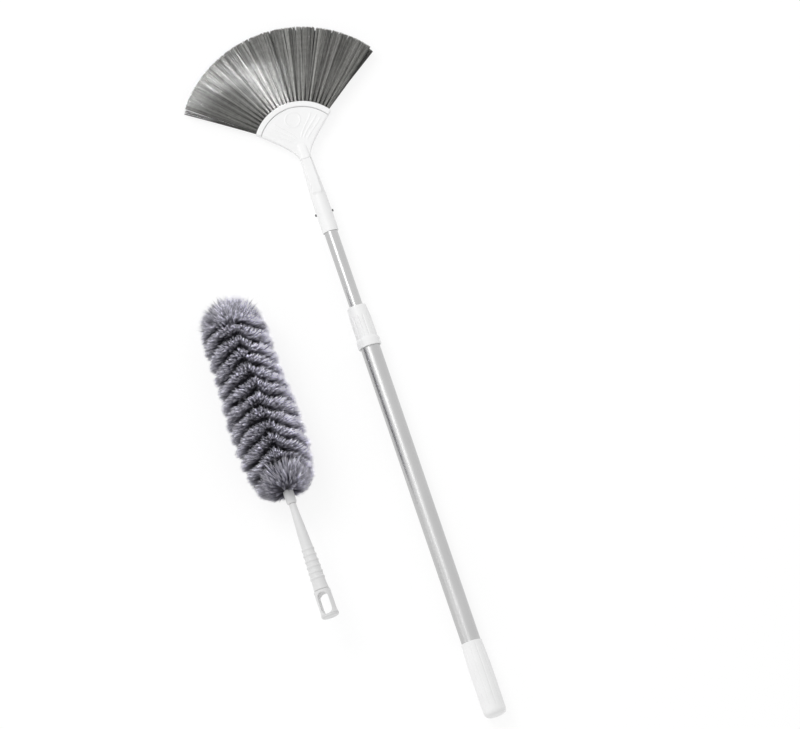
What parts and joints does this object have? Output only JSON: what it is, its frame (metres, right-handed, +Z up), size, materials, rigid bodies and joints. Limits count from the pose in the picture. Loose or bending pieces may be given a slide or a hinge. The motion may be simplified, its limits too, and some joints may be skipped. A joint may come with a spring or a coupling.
{
  "type": "duster set",
  "caption": "Fan-shaped dusting brush on a twist-lock telescopic pole, with a fluffy hand duster that has a short ridged handle and a hanging slot.",
  "frame": {"origin": "the ground under the middle of the set's outer box, with both dusters lying on the ground", "axes": "+Y along the pole from its grip to the fan head, +Z up from the ground, +X to the right when the fan is looked down on with its tips away from the viewer"},
  "size_m": [0.3678, 1.031, 0.1095],
  "materials": {
    "white_plastic": "satin",
    "pale_plastic": "satin",
    "ferrule_plastic": "satin",
    "natural_nylon": "matte",
    "dark_plastic": "satin",
    "satin_tube": "satin",
    "bright_tube": "polished",
    "spring_steel": "satin",
    "grey_bristle": "satin",
    "grey_fibre": "matte"
  },
  "bodies": {
    "outer_pole": {"grip": "white_plastic", "outer_tube": "satin_tube", "collet": "natural_nylon"},
    "clamp": {"squeeze_ring": "natural_nylon"},
    "collar": {"lock_collar": "white_plastic"},
    "slider": {"guide_ring": "natural_nylon"},
    "inner_pole": {"inner_tube": "bright_tube", "guide_plug": "natural_nylon", "button_spring": "spring_steel", "head_socket": "white_plastic", "fan_front_cover": "white_plastic", "fan_back_cover": "white_plastic", "tuft_block": "white_plastic", "bristles_front_row": "grey_bristle", "bristles_back_row": "grey_bristle"},
    "left_button": {"snap_button_left": "dark_plastic"},
    "right_button": {"snap_button_right": "dark_plastic"},
    "hand_duster": {"hang_cap": "pale_plastic", "handle": "pale_plastic", "neck_ferrule": "ferrule_plastic", "core_wire": "spring_steel", "core_tip_cap": "ferrule_plastic", "fibre_head": "grey_fibre"}
  },
  "joints": [
    {"name": "clamp_travel", "type": "slide", "parent": "outer_pole", "child": "clamp", "axis": [0, 1, 0], "range_m": [0, 0.001]},
    {"name": "collar_twist", "type": "hinge", "parent": "clamp", "child": "collar", "pos_m": [0.04847, 0.07, 0.0166], "axis": [0, 1, 0], "range_deg": [0, 90]},
    {"name": "pole_extend", "type": "slide", "parent": "outer_pole", "child": "slider", "axis": [0, 1, 0], "range_m": [-0.105, 0.27]},
    {"name": "pole_swivel", "type": "hinge", "parent": "slider", "child": "inner_pole", "pos_m": [0.04847, 0.07, 0.0166], "axis": [0, 1, 0], "continuous": true},
    {"name": "left_button_press", "type": "slide", "parent": "inner_pole", "child": "left_button", "axis": [1, 0, 0], "range_m": [0, 0.0036], "stiffness_N_per_m": 600, "springref_m": -0.003, "deforming": ["button_spring"]},
    {"name": "right_button_press", "type": "slide", "parent": "inner_pole", "child": "right_button", "axis": [-1, 0, 0], "range_m": [0, 0.0036], "stiffness_N_per_m": 600, "springref_m": -0.003, "deforming": ["button_spring"]},
    {"name": "hand_duster_lift", "type": "slide", "parent": "outer_pole", "child": "hand_duster", "axis": [0, 0, 1], "range_m": [0, 0.3]}
  ],
  "couplings": [
    {"joint": "collar_twist", "follows": "clamp_travel", "rad_per_m": 1570.8}
  ]
}
